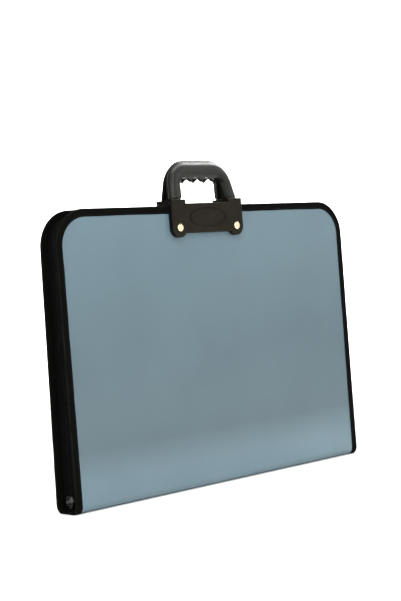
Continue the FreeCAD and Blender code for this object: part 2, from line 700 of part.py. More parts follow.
def make_grip(side):
    """Moulded grip: a rounded front on a wider rim, finger hollows and two pinned feet."""
    body = new_body(side + "_grip_body", grip_frame(side))
    rim = ("dims.grip_half", "dims.grip_height", "dims.grip_corner")
    face = inset_arch(*rim, "dims.grip_rim")
    window = ("dims.window_half", "dims.window_top", "dims.window_corner", "dims.window_spread")
    front_pad(body, side + "_grip_rim", "-dims.grip_back", "dims.grip_back + dims.grip_step",
              draw_band, (*rim, "dims.grip_spread"), window, "dims.grip_foot")
    front_pad(body, side + "_grip_face", "dims.grip_step", "dims.grip_front - dims.grip_step",
              draw_band, (*face, "dims.grip_spread"), window, "dims.grip_foot")
    round_grip(body, side)
    relief = new_sketch(body, side + "_relief", "XZ_Plane", "-(dims.grip_back + dims.overshoot)")
    draw_rectangle(relief, "-dims.relief_half", "dims.window_top - dims.window_corner",
                   "dims.relief_half", "dims.window_top + dims.hollow_depth + dims.relief_gap")
    pocket(body, relief, "dims.grip_back + dims.overshoot - dims.tip_back")
    hollows = new_sketch(body, side + "_hollows", "XZ_Plane", "-(dims.grip_back + dims.overshoot)")
    draw_hollows(hollows)
    pocket(body, hollows, "dims.grip_back + dims.grip_front + 2 * dims.overshoot")
    for name, sign in ENDS:
        near, far = ("dims.foot_in", "dims.foot_out") if sign == 1 else ("-dims.foot_out", "-dims.foot_in")
        front_pad(body, "%s_foot_%s" % (side, name), "-dims.foot_half", "2 * dims.foot_half",
                  draw_rectangle, near, "0", far, "dims.grip_foot + dims.foot_root")
        eye = new_sketch(body, "%s_eye_%s" % (side, name), "YZ_Plane", near)
        draw_circle(eye, "0", "0", "dims.knuckle")
        pad(body, eye, "dims.foot_out - dims.foot_in")
    bore = new_sketch(body, side + "_grip_bore", "YZ_Plane", "-(dims.foot_out + dims.overshoot)")
    draw_circle(bore, "0", "0", "dims.pin_radius + dims.pin_play")
    pocket(body, bore, "2 * (dims.foot_out + dims.overshoot)")
    keep(body, side + "_grip")


def outside(edge, across, up):
    """Whether an edge reaches past the given width or height of the grip."""
    box = edge.BoundBox
    return box.XMax > across or box.XMin < -across or box.ZMax > up


def round_grip(body, side):
    """Pillow the front face, ease its finger opening and the back, and round the rim."""
    outward, up = Vector(0, -1, 0), Vector(0, 0, 1)
    foot, middle = value("dims.grip_foot"), value("(dims.window_half + dims.grip_half) / 2")
    bar = value("(dims.window_top + dims.grip_height) / 2")
    edge_x = value("dims.grip_half + dims.grip_spread - dims.grip_rim / 2")
    edge_z = value("dims.grip_height - dims.grip_rim / 2")
    for name, distance, chosen in (("inner", "dims.grip_front", lambda edge: not outside(edge, middle, bar)),
                                   ("front", "dims.grip_front", lambda edge: outside(edge, middle, bar)),
                                   ("back", "-dims.grip_back", lambda edge: True),
                                   ("rim", "dims.grip_step", lambda edge: outside(edge, edge_x, edge_z))):
        level = value(distance)
        round_edges(body, "%s_grip_round_%s" % (side, name), "dims.%s_round" % name,
                    lambda edge: on_plane(edge, outward, level) and not on_plane(edge, up, foot)
                    and chosen(edge))


def make_cover(side):
    frame = cover_frame(side)
    make_panel(side, frame)
    make_binding(side, frame)
    make_gusset(side, frame)
    make_zipper_half(side)
    make_plate(side, frame)
    make_backing(side, frame)
    make_rivets(side, frame)
    make_pins(side, frame)
    make_grip(side)


# ---------------------------------------------------------------- zipper slider

def slider_frame():
    """Frame at the slider's lower end on the left tape, +X pointing out of the case."""
    foot = Vector(-value(TAPE_MID), 0, value("dims.slider_foot"))
    return Placement(foot, Rotation(Vector(0, 0, 1), 180))


def block(body, name, x1, x2, y1, y2, low, high):
    """Upright block between two heights."""
    sketch = new_sketch(body, name, "XY_Plane", low)
    draw_rectangle(sketch, x1, y1, x2, y2)
    return pad(body, sketch, "(%s) - (%s)" % (high, low))


def make_slider():
    body = new_body("slider_body", slider_frame())
    cavity, skin = "dims.slider_cavity", "dims.slider_cavity + dims.slider_wall"
    half, length = "dims.slider_half", "dims.slider_length"
    block(body, "slider_outer", cavity, skin, "-" + half, half, "0", length)
    block(body, "neck", "-" + cavity, cavity, "-dims.neck_half", "dims.neck_half", "0", "dims.neck_length")
    block(body, "slider_inner", "-(%s)" % skin, "-" + cavity, "-" + half, half, "0", length)
    for name, near, far in (("outer", "dims.slot_half", cavity), ("inner", "-" + cavity, "-dims.slot_half")):
        for hand, y1, y2 in (("left", "-" + half, "-dims.rail_from"), ("right", "dims.rail_from", half)):
            block(body, "rail_%s_%s" % (name, hand), near, far, y1, y2, "0", length)
    posts = (("low", "dims.bridge_low", "dims.bridge_low + dims.bridge_post"),
             ("high", "dims.bridge_high - dims.bridge_post", "dims.bridge_high"))
    for name, low, high in posts:
        block(body, "post_" + name, skin, "dims.bridge_out", "-dims.bridge_radius", "dims.bridge_radius",
              low, high)
    bar = new_sketch(body, "bridge", "XY_Plane", "dims.bridge_low")
    draw_circle(bar, "dims.bridge_out", "0", "dims.bridge_radius")
    pad(body, bar, "dims.bridge_high - dims.bridge_low")
    keep(body, "zipper_slider")


def make_pull_tab():
    """Flat tab with a rolled eye on the slider's bar, lying towards the front."""
    frame = slider_frame() * Placement(Vector(value("dims.bridge_out"), 0, value("dims.eye_low")), Rotation())
    body = new_body("tab_body", frame)
    eye = new_sketch(body, "tab_eye", "XY_Plane")
    draw_circle(eye, "0", "0", "dims.eye_radius")
    pad(body, eye, "dims.eye_high - dims.eye_low")
    blade = new_sketch(body, "tab_blade", "YZ_Plane", "-dims.tab_thickness / 2")
    draw_tab(blade)
    pad(body, blade, "dims.tab_thickness")
    tip = value("dims.tab_length / 2")
    round_edges(body, "tab_round", "dims.tab_corner",
                lambda edge: along(edge, Vector(1, 0, 0)) and edge.BoundBox.YMin > tip)
    bore = new_sketch(body, "tab_bore", "XY_Plane", "-dims.overshoot")
    draw_circle(bore, "0", "0", "dims.bridge_radius + dims.eye_play")
    pocket(body, bore, "dims.eye_high - dims.eye_low + 2 * dims.overshoot")
    keep(body, "zipper_pull_tab")


def draw_tab(sketch):
    """Widening blade that rises from the eye towards its free end."""
    start, middle = "dims.eye_radius - dims.tab_overlap", "(dims.eye_high - dims.eye_low) / 2"
    rise = "dims.tab_length * sin(dims.tab_tilt)"
    reach = "dims.tab_length * cos(dims.tab_tilt)"
    end_y, end_z = "dims.tab_tip / 2 * sin(dims.tab_tilt)", "dims.tab_tip / 2 * cos(dims.tab_tilt)"
    draw_polygon(sketch, [(start, "%s - dims.tab_root / 2" % middle),
                          ("%s + %s" % (reach, end_y), "%s + %s - %s" % (middle, rise, end_z)),
                          ("%s - %s" % (reach, end_y), "%s + %s + %s" % (middle, rise, end_z)),
                          (start, "%s + dims.tab_root / 2" % middle)])


# ---------------------------------------------------------------- build and write

def check_document():
    for item in doc.Objects:
        if "Invalid" in item.State or "Error" in item.State:
            raise RuntimeError("%s failed: %s" % (item.Name, item.State))
    for part in sub_parts:
        if part.Shape.isNull() or not part.Shape.isValid() or not part.Shape.Solids:
            raise RuntimeError("%s has no valid solid" % part.Label)


def write_parts():
    os.makedirs("parts", exist_ok=True)
    for part in sub_parts:
        part.Shape.exportStep("parts/%s.step" % part.Label)
        print("%-22s solids %d  volume %.1f" % (part.Label, len(part.Shape.Solids), part.Shape.Volume))


make_base()
for side in ("front", "rear"):
    make_cover(side)
make_slider()
make_pull_tab()
doc.recompute()
check_document()
write_parts()
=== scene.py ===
import math

import bmesh
import bpy
import numpy as np
from mathutils import Matrix, Vector


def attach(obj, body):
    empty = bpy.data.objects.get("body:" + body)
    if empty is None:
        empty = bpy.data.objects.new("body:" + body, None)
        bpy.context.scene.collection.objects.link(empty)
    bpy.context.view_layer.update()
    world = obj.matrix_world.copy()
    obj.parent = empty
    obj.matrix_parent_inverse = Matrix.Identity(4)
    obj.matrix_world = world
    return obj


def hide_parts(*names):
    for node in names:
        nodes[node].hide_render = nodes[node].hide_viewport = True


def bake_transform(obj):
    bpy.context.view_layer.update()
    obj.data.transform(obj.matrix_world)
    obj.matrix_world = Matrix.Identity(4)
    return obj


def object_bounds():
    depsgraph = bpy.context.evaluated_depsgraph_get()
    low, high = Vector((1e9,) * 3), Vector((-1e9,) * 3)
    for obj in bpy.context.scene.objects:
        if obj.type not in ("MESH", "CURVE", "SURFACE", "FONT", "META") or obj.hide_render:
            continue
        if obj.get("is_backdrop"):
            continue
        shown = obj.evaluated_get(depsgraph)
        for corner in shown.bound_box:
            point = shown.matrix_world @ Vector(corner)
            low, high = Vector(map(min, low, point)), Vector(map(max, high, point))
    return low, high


# The looks of a zipped portfolio case. Metres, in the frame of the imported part:
# +X along the width, the front cover faces -Y, +Z up, the case stands on z = 0.

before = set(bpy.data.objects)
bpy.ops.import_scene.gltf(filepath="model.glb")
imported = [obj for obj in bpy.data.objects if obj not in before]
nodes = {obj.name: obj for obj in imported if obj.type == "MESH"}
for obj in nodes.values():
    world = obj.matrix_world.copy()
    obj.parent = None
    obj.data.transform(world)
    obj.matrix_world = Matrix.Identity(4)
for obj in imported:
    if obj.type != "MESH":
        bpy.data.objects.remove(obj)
cad_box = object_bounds()

MM = 0.001

# ---------------------------------------------------------------- sizes of the case

HALF = 250 * MM             # half width over the bindings
TOP = 350 * MM              # height of the top binding
CREASE = 10.2 * MM          # height of both fold lines
HALF_DEPTH = 18 * MM        # fold line from the middle plane
LEAN = math.radians(0.67)   # inward lean of a closed cover
RISE = TOP - CREASE         # top of a cover in its own frame
CORNER = 44 * MM            # outer corner radius
SHEET = 1.2 * MM            # thickness of the plastic sheet
EDGE_WALL = 1.3 * MM        # binding round the sheet's edge
FOOT = 0.4 * MM             # start of a cover above its fold line
BAND = 9.5 * MM             # binding on the outer face
INNER_BAND = 8.3 * MM       # binding on the inner face
SEAM_INSET = 1.9 * MM       # seam from the inner edge of the outer leg
BEND = 9.6 * MM             # outer radius of the folded base
BEND_STEPS = 10
REBATE = 0.5 * MM           # binding let into the underside of the base

GUSSET_START = math.radians(-62)    # where the gusset starts on the bend
GUSSET_INSET = 8.5 * MM
GUSSET_DEPTH = 6.5 * MM
GUSSET_CLOTH = 0.5 * MM
WEB_CLOTH = 0.6 * MM
TAPE_INSET = 8.05 * MM      # middle of the zipper tape
TAPE_REACH = 12.6 * MM      # far and toothed edge of the tape from the middle plane
CHAIN_REACH = 3.3 * MM
TAPE_CLOTH = 0.5 * MM
ZIP_FOOT = 10.5 * MM        # lower end of the zipper
SLIDER_TOP = 20.2 * MM

PLATE_FACE = 6.5 * MM       # front of the handle plate from the sheet
RING_DROP = 15.5 * MM       # middle of the plate's oval ring below the top
RING_MAJOR = 31.5 * MM
RING_MINOR = 11.8 * MM
HANDLE_X = {"front": -10 * MM, "rear": 2 * MM}
PIN_OUT = 1.7 * MM          # pin of a grip from the sheet and above the top
PIN_RISE = 3.6 * MM
GRIP_LEAN = {"front": math.radians(11), "rear": math.radians(3)}
GRIP_STEP = -2 * MM         # front of a grip's rim from its middle plane
BAND_HALF = 47 * MM         # middle line of a grip's band: half width, top and corner
BAND_TOP = 41 * MM
BAND_TURN = 22 * MM
BAND_REACH = 9 * MM         # from that line to the edges of the band
PILLOW = 2.6 * MM           # height of the bulge between them

SIDES = {"front": -1, "rear": 1}


# ---------------------------------------------------------------- places on the case

def on_cover(side, x, out, up):
    """World point of a cover: out from the sheet's outer face, up from the fold line."""
    s = SIDES[side]
    y = s * (HALF_DEPTH + out * math.cos(LEAN) - up * math.sin(LEAN))
    z = CREASE + up * math.cos(LEAN) + out * math.sin(LEAN)
    return Vector((x, y, z))


def arch(inset, foot, step):
    """Points along the edge outline drawn in by inset: (x, up, outward x, outward up, length)."""
    half, top, r = HALF - inset, RISE - inset, CORNER - inset
    runs = []
    straight = max(2, int((top - r - foot) / step))
    for i in range(straight):
        runs.append((-half, foot + (top - r - foot) * i / straight, -1.0, 0.0))
    turn = max(10, int(r * math.pi / 2 / step))
    for i in range(turn):
        a = math.pi - math.pi / 2 * i / turn
        runs.append((-half + r + r * math.cos(a), top - r + r * math.sin(a), math.cos(a), math.sin(a)))
    across = max(2, int((2 * half - 2 * r) / step))
    for i in range(across):
        runs.append((-half + r + (2 * half - 2 * r) * i / across, top, 0.0, 1.0))
    for i in range(turn):
        a = math.pi / 2 - math.pi / 2 * i / turn
        runs.append((half - r + r * math.cos(a), top - r + r * math.sin(a), math.cos(a), math.sin(a)))
    for i in range(straight + 1):
        runs.append((half, top - r - (top - r - foot) * i / straight, 1.0, 0.0))
    result, length, last = [], 0.0, runs[0]
    for p in runs:
        length += math.hypot(p[0] - last[0], p[1] - last[1])
        result.append((*p, length))
        last = p
    return result


def low_run(side, sign, first):
    """Stations along one end of the folded base, from an angle of the bend up to the fold.

    Each station is a place on the sheet's outer face, the way inward and the way outward.
    """
    s = SIDES[side]
    middle, inward, stations = HALF_DEPTH - BEND, Vector((-sign, 0, 0)), []
    if first <= -math.pi / 2:
        for y in (0.0, middle / 2):
            stations.append((Vector((sign * HALF, s * y, 0)), inward, Vector((0, 0, -1))))
    for i in range(BEND_STEPS + 1):
        a = first * (1 - i / BEND_STEPS)
        outward = Vector((0, s * math.cos(a), math.sin(a)))
        place = Vector((sign * HALF, s * middle, BEND)) + outward * BEND
        stations.append((place, inward, outward))
    return stations


def edge_path(side, first, step):
    """Stations from one end of the base round the cover's edge to the other, with lengths."""
    zero = on_cover(side, 0, 0, 0)
    outward = on_cover(side, 0, 1, 0) - zero
    stations = low_run(side, -1, first)
    for x, up, nx, nu, _ in arch(0.0, FOOT, step):
        stations.append((on_cover(side, x, 0, up), zero - on_cover(side, nx, 0, nu), outward))
    stations += low_run(side, 1, first)[::-1]
    result, length, last = [], 0.0, stations[0][0]
    for place, inward, normal in stations:
        length += (place - last).length
        result.append((place, inward, normal, length))
        last = place
    return result


def waves(seed, count, shortest, longest):
    """Smooth random function of one length, between about -1 and 1, always the same."""
    rng = np.random.default_rng(seed)
    lengths = rng.uniform(shortest, longest, count)
    phases = rng.uniform(0, 2 * math.pi, count)
    weights = rng.uniform(0.5, 1.0, count)
    total = float(weights.sum())

    def at(s):
        return sum(w * math.sin(2 * math.pi * s / l + p)
                   for w, l, p in zip(weights, lengths, phases)) / total * 1.6
    return at


# ---------------------------------------------------------------- meshes

def new_object(name, bm, material):
    mesh = bpy.data.meshes.new(name)
    bm.normal_update()
    bm.to_mesh(mesh)
    bm.free()
    mesh.polygons.foreach_set("use_smooth", [True] * len(mesh.polygons))
    obj = bpy.data.objects.new(name, mesh)
    bpy.context.scene.collection.objects.link(obj)
    mesh.materials.append(material)
    return obj


def grid_mesh(rows, uv_rows, closed=False, capped=False):
    """Quads between rows of points, with UVs in metres; closed joins each row to itself."""
    bm = bmesh.new()
    layer = bm.loops.layers.uv.new("UVMap")
    made = [[bm.verts.new(p) for p in row] for row in rows]
    count = len(made[0])
    spans = count if closed else count - 1
    for i in range(len(made) - 1):
        for j in range(spans):
            k = (j + 1) % count
            face = bm.faces.new((made[i][j], made[i][k], made[i + 1][k], made[i + 1][j]))
            uvs = (uv_rows[i][j], uv_rows[i][j + 1], uv_rows[i + 1][j + 1], uv_rows[i + 1][j])
            for loop, uv in zip(face.loops, uvs):
                loop[layer].uv = uv
    if closed and capped:
        for row in (made[0], made[-1][::-1]):
            bm.faces.new(row)
    bmesh.ops.recalc_face_normals(bm, faces=bm.faces)
    return bm


def row_uvs(row, along):
    """UVs of one row: metres along the piece and metres across it; one more than the points."""
    across, uvs = 0.0, [(along, 0.0)]
    for a, b in zip(row, list(row[1:]) + [row[0]]):
        across += (Vector(b) - Vector(a)).length
        uvs.append((along, across))
    return uvs


def smooth_by_angle(obj, degrees):
    """Smooth shading with edges sharper than the angle kept sharp."""
    for edge in obj.data.edges:
        edge.use_edge_sharp = False
    bm = bmesh.new()
    bm.from_mesh(obj.data)
    limit = math.radians(degrees)
    for edge in bm.edges:
        if len(edge.link_faces) == 2 and edge.calc_face_angle(0) > limit:
            edge.smooth = False
    bm.to_mesh(obj.data)
    bm.free()


def thicken(obj, thickness):
    """Give a cloth its thickness, half on each side."""
    solid = obj.modifiers.new("thickness", "SOLIDIFY")
    solid.thickness = thickness
    solid.offset = 0.0


# ---------------------------------------------------------------- materials

class Shader:
    """A Principled material with short helpers for its nodes."""

    def __init__(self, name, **sockets):
        self.material = bpy.data.materials.new(name)
        self.material.use_nodes = True
        self.tree = self.material.node_tree
        self.main = self.tree.nodes["Principled BSDF"]
        for socket, setting in sockets.items():
            self.main.inputs[socket.replace("_", " ")].default_value = setting

    def node(self, kind, inputs=None, **settings):
        node = self.tree.nodes.new(kind)
        for key, setting in settings.items():
            setattr(node, key, setting)
        for key, source in (inputs or {}).items():
            if isinstance(source, bpy.types.NodeSocket):
                self.tree.links.new(source, node.inputs[key])
            else:
                node.inputs[key].default_value = source
        return node

    def link(self, source, socket):
        self.tree.links.new(source, self.main.inputs[socket])

    def math(self, operation, a, b=0.0):
        return self.node("ShaderNodeMath", {0: a, 1: b}, operation=operation).outputs[0]

    def vector(self, operation, a, b=(0, 0, 0), output="Vector"):
        return self.node("ShaderNodeVectorMath", {0: a, 1: b}, operation=operation).outputs[output]

    def place(self, source="Object"):
        return self.node("ShaderNodeTexCoord").outputs[source]

    def part(self, vector, axis):
        return self.node("ShaderNodeSeparateXYZ", {0: vector}).outputs[axis]

    def noise(self, vector, scale, detail=3.0, roughness=0.5):
        inputs = {"Vector": vector, "Scale": scale, "Detail": detail, "Roughness": roughness}
        return self.node("ShaderNodeTexNoise", inputs).outputs["Fac"]

    def cells(self, vector, scale):
        inputs = {"Vector": vector, "Scale": scale}
        return self.node("ShaderNodeTexVoronoi", inputs, feature="SMOOTH_F1").outputs["Distance"]

    def ramp(self, factor, *stops):
        node = self.node("ShaderNodeValToRGB", {"Fac": factor})
        band = node.color_ramp
        while len(band.elements) < len(stops):
            band.elements.new(0.5)
        for element, (place, colour) in zip(band.elements, stops):
            element.position = place
            element.color = (*colour, 1.0)
        return node.outputs["Color"]

    def spread(self, factor, low, high, start=0.0, end=1.0):
        inputs = {"Value": factor, "From Min": start, "From Max": end, "To Min": low, "To Max": high}
        return self.node("ShaderNodeMapRange", inputs).outputs[0]

    def bump(self, height, strength, distance, under=None):
        inputs = {"Height": height, "Strength": strength, "Distance": distance}
        if under is not None:
            inputs["Normal"] = under
        return self.node("ShaderNodeBump", inputs).outputs[0]


def srgb(r, g, b):
    """Linear colour from 0-255 display values."""
    def one(v):
        v = v / 255
        return v / 12.92 if v <= 0.04045 else ((v + 0.055) / 1.055) ** 2.4
    return one(r), one(g), one(b)


def grey(level):
    return level, level, level


def sheet_material():
    """Blue-grey plastic sheet with a fine leather-like emboss and soft gloss.

    Painted light and shade by height: it is paler along the folds, where bounce from the floor is painted,
    and at the top, and darker in between.
    """
    s = Shader("sheet_plastic", Roughness=0.38, Specular_IOR_Level=0.45, Coat_Weight=0.12, Coat_Roughness=0.3)
    place = s.place()
    broad = s.noise(place, 9.0, 2.0)
    colour = s.ramp(broad, (0.3, srgb(83, 104, 113)), (0.7, srgb(88, 110, 119)))
    # Painted light and shade: a ramp over height lightens the colour near the bottom and the top and darkens
    # it in the middle.
    painted_light_tones = ((0.04, 1.06), (0.1, 0.98), (0.2, 0.62), (0.55, 0.72), (0.95, 0.94))
    height = s.spread(s.part(place, "Z"), 0.0, 1.0, 0.0, TOP)
    tone = s.ramp(height, *[(share, grey(level)) for share, level in painted_light_tones])
    paler = 1.07
    s.link(s.vector("MULTIPLY", s.vector("MULTIPLY", colour, tone), grey(paler)), "Base Color")
    emboss = 0.2 * MM
    under = s.bump(s.cells(place, 900.0), 0.12, emboss)
    grain = s.noise(place, 1500.0, 2.0, 0.6)
    s.link(s.bump(grain, 0.10, emboss, under), "Normal")
    s.link(s.spread(s.noise(place, 30.0, 4.0), 0.34, 0.46, 0.3, 0.7), "Roughness")
    return s.material


def cloth_material(name, dark, light, ribs, rib_depth, highlight_span=None):
    """Black polyester tape: ribs across its length over a fine plain weave.

    The last argument is the stretch across the tape, in metres, where its folded edge gets a patchy painted
    highlight.
    """
    s = Shader(name, Roughness=0.95, Specular_IOR_Level=0.03)
    uv = s.place("UV")
    along, across = s.part(uv, "X"), s.part(uv, "Y")
    wave = s.math("SINE", s.math("MULTIPLY", along, 2 * math.pi / ribs))
    weft = s.math("SINE", s.math("MULTIPLY", across, 2 * math.pi / (ribs * 0.8)))
    weave = s.math("MULTIPLY", wave, weft)
    height = s.math("ADD", s.math("MULTIPLY", wave, 0.6), s.math("MULTIPLY", weave, 0.5))
    fuzz = s.noise(s.place(), 2600.0, 2.0, 0.7)
    tone = s.math("ADD", s.spread(height, 0.0, 0.7, -1.1, 1.1), s.math("MULTIPLY", fuzz, 0.45))
    if highlight_span is not None:
        # Painted highlight: patchy paler colour along the folded edge, reaching up to three times the light
        # colour at the ramp's top.
        middle, half = (highlight_span[0] + highlight_span[1]) / 2, (highlight_span[1] - highlight_span[0]) / 2
        near = s.math("ABSOLUTE", s.math("SUBTRACT", across, middle))
        highlight_patches = s.spread(s.noise(s.place(), 70.0, 4.0, 0.6), 0.1, 0.8, 0.3, 0.7)
        tone = s.math("ADD", tone, s.math("MULTIPLY", s.spread(near, 1.0, 0.0, 0.0, half), highlight_patches))
    s.link(s.ramp(tone, (0.15, dark), (0.95, light), (1.0, [3 * c for c in light])), "Base Color")
    under = s.bump(fuzz, 0.25, 0.2 * MM)
    s.link(s.bump(height, 0.7, rib_depth, under), "Normal")
    return s.material


def thread_material():
    """Black sewing thread with a slanting twist."""
    s = Shader("sewing_thread", Roughness=0.6, Specular_IOR_Level=0.1)
    uv = s.place("UV")
    lay = 0.7 * MM
    slant = s.math("ADD", s.part(uv, "X"), s.part(uv, "Y"))
    twist = s.math("SINE", s.math("MULTIPLY", slant, 2 * math.pi / lay))
    tone = s.spread(twist, 0.0, 1.0, -1.0, 1.0)
    s.link(s.ramp(tone, (0.0, srgb(7, 7, 7)), (1.0, srgb(17, 17, 17))), "Base Color")
    s.link(s.bump(twist, 0.5, 0.1 * MM), "Normal")
    return s.material


def moulded_shader(name, dark, light, roughness, specular, shade=None, swell=None):
    """Dark moulded plastic with spark-eroded grain and lighter patches of wear.

    shade takes the shader and returns what the base colour is multiplied by; swell returns a
    broad height, 0 at most, in units of the pillow's height.
    """
    s = Shader(name, Roughness=roughness, Specular_IOR_Level=specular)
    place = s.place()
    colour = s.ramp(s.noise(place, 60.0, 5.0, 0.6), (0.3, dark), (0.75, light))
    if shade is not None:
        colour = s.vector("MULTIPLY", colour, shade(s))
    s.link(colour, "Base Color")
    grain = 0.15 * MM
    base = None if swell is None else s.bump(swell(s), 1.0, PILLOW)
    under = s.bump(s.cells(place, 1400.0), 0.25, grain, base)
    s.link(s.bump(s.noise(place, 3200.0, 2.0, 0.6), 0.2, grain, under), "Normal")
    s.link(s.spread(s.noise(place, 220.0, 3.0), roughness - 0.06, roughness + 0.1, 0.3, 0.7), "Roughness")
    return s


def moulded_material(*settings):
    return moulded_shader(*settings).material


def facing(s, axis):
    """How far the surface faces along one of the piece's own axes, -1 to 1."""
    return s.part(s.place("Normal"), axis)


def grip_material(side):
    """Grip plastic: a pillowed front, and behind the step of its rim a duller gloss and painted shade that
    darkens the moulding.
    """
    lean = LEAN + GRIP_LEAN[side]
    outward = Vector((0, SIDES[side] * math.cos(lean), math.sin(lean)))
    upward = Vector((0, -SIDES[side] * math.sin(lean), math.cos(lean)))
    to_local = nodes[side + "_grip"].matrix_world.inverted()
    pin = to_local @ on_cover(side, HANDLE_X[side], PIN_OUT, RISE + PIN_RISE)

    def along(s, axis):
        off = s.vector("SUBTRACT", s.place(), pin)
        return s.vector("DOT_PRODUCT", off, to_local.to_3x3() @ axis, "Value")

    def shade_and_dull_behind_step(s, front, behind):
        return s.spread(along(s, outward), behind, front, GRIP_STEP - 0.4 * MM, GRIP_STEP + 0.1 * MM)

    def swell(s):
        """Minus the square of the distance from the band's middle line, over its reach."""
        across = s.math("ABSOLUTE", along(s, Vector((1, 0, 0))))
        across = s.math("MAXIMUM", s.math("SUBTRACT", across, BAND_HALF - BAND_TURN))
        up = s.math("MAXIMUM", s.math("SUBTRACT", along(s, upward), BAND_TOP - BAND_TURN))
        reach = s.math("SQRT", s.math("ADD", s.math("MULTIPLY", across, across), s.math("MULTIPLY", up, up)))
        off_middle = s.math("SUBTRACT", reach, BAND_TURN)
        return s.math("MULTIPLY", s.math("MULTIPLY", off_middle, off_middle), -1 / BAND_REACH ** 2)

    # Painted shade: behind the step of the rim, the base colour drops to 0.3 of itself.
    s = moulded_shader(side + "_grip_plastic", srgb(18, 19, 13), srgb(27, 28, 21), 0.36, 0.34,
                       lambda s: shade_and_dull_behind_step(s, 1.0, 0.3), swell)
    s.link(shade_and_dull_behind_step(s, 0.3, 0.05), "Specular IOR Level")
    return s.material


def plate_material(side):
    """Warmer plastic of the plate, with painted shade on its side walls and on its ring's edge and a painted
    highlight on upward faces.
    """
    node = nodes[side + "_handle_plate"]
    centre = node.matrix_world.inverted() @ on_cover(side, HANDLE_X[side], PLATE_FACE, RISE - RING_DROP)

    def shade(s):
        off = s.vector("SUBTRACT", s.place(), centre)
        off = s.vector("MULTIPLY", off, (1 / RING_MAJOR, 0.0, 1 / RING_MINOR))
        reach = s.spread(s.vector("LENGTH", off, output="Value"), 0.0, 1.0, 0.85, 1.2)
        dark, plain = grey(0.4), grey(1.0)
        # Painted shade: a dark line along the edge of the oval ring.
        line = s.ramp(reach, (0.22, plain), (0.34, dark), (0.48, dark), (0.62, plain))
        # Painted highlight: faces turned upward are lightened up to four times.
        painted_top_highlight = s.spread(facing(s, "Z"), 1.0, 4.0, 0.2, 0.6)
        # Painted shade: side walls facing along X are darkened to 0.2 of the colour.
        wall = s.ramp(s.math("ABSOLUTE", facing(s, "X")), (0.45, plain), (0.8, grey(0.2)))
        return s.vector("MULTIPLY", s.vector("MULTIPLY", line, painted_top_highlight), wall)

    dark, light = srgb(21, 17, 10), srgb(29, 25, 17)
    return moulded_shader(side + "_handle_plastic", dark, light, 0.55, 0.1, shade).material


def metal_material(name, colour, dark, roughness):
    """Metal with faint tarnish and hairline scratches."""
    s = Shader(name, Metallic=1.0, Roughness=roughness)
    place = s.place()
    tarnish = s.noise(place, 180.0, 5.0, 0.65)
    s.link(s.ramp(tarnish, (0.3, dark), (0.6, colour)), "Base Color")
    scratch = s.noise(s.vector("MULTIPLY", place, (400.0, 400.0, 9000.0)), 1.0, 3.0, 0.7)
    s.link(s.spread(tarnish, roughness - 0.08, roughness + 0.14, 0.3, 0.7), "Roughness")
    s.link(s.bump(scratch, 0.15, 0.08 * MM), "Normal")
    return s.material


SHEET_BLUE = sheet_material()
# Stretch across the binding tape where its folded edge gets a painted highlight.
FOLD_EDGE_HIGHLIGHT = (8.5 * MM, 10.5 * MM)
BINDING = cloth_material("binding_cloth", srgb(5, 5, 4), srgb(13, 13, 12), 1.1 * MM, 0.3 * MM, FOLD_EDGE_HIGHLIGHT)
GUSSET = cloth_material("gusset_cloth", srgb(3, 3, 3), srgb(8, 8, 8), 0.8 * MM, 0.2 * MM)
TAPE = cloth_material("zipper_tape_cloth", srgb(3, 3, 3), srgb(9, 9, 9), 0.9 * MM, 0.25 * MM)
THREAD = thread_material()
COIL = moulded_material("zipper_coil", srgb(6, 6, 6), srgb(12, 12, 12), 0.5, 0.08)
BACKING = moulded_material("backing_plastic", srgb(16, 16, 17), srgb(26, 26, 27), 0.5, 0.3)
BRASS = metal_material("rivet_brass", srgb(252, 238, 210), srgb(226, 190, 136), 0.22)
SLIDER = metal_material("slider_metal", srgb(46, 46, 45), srgb(22, 22, 22), 0.45)
TAB = metal_material("tab_metal", srgb(76, 76, 74), srgb(48, 48, 46), 0.45)


def paint(node, material):
    """Give a carried-over CAD node its finish."""
    mesh = nodes[node].data
    mesh.materials.clear()
    mesh.materials.append(material)


# ---------------------------------------------------------------- folded sheet

def sheet_bow(x, up):
    """How far the sheet stands out of its flat plane: a shallow, slightly uneven bow."""
    u, v = x / HALF, up / RISE
    crown = math.cos(u * math.pi / 2) * math.sin(min(1.0, max(0.0, v)) * math.pi)
    ripple = 0.25 * math.sin(3.1 * u + 0.7) * math.sin(2.0 * math.pi * v + 0.4)
    return (1.1 * crown + ripple * crown) * MM


def base_profile(inset):
    """Folded base from the middle of the underside to the fold line: (depth, height)."""
    points = [(0.0, inset), ((HALF_DEPTH - BEND) * 0.5, inset)]
    for i in range(BEND_STEPS + 1):
        a = -math.pi / 2 + math.pi / 2 * i / BEND_STEPS
        r = BEND - inset
        points.append((HALF_DEPTH - BEND + r * math.cos(a), BEND + r * math.sin(a)))
    return points


def sheet_columns(half):
    """Places across the sheet, closer together at both ends, where the upper corners turn."""
    count = 72
    places = []
    for i in range(count + 1):
        t = i / count * 2 - 1
        places.append(half * (math.sin(t * math.pi / 2) * 0.35 + t * 0.65))
    band = HALF - BAND
    return sorted(places + [-band, band, 0.1 * MM - band, band - 0.1 * MM])


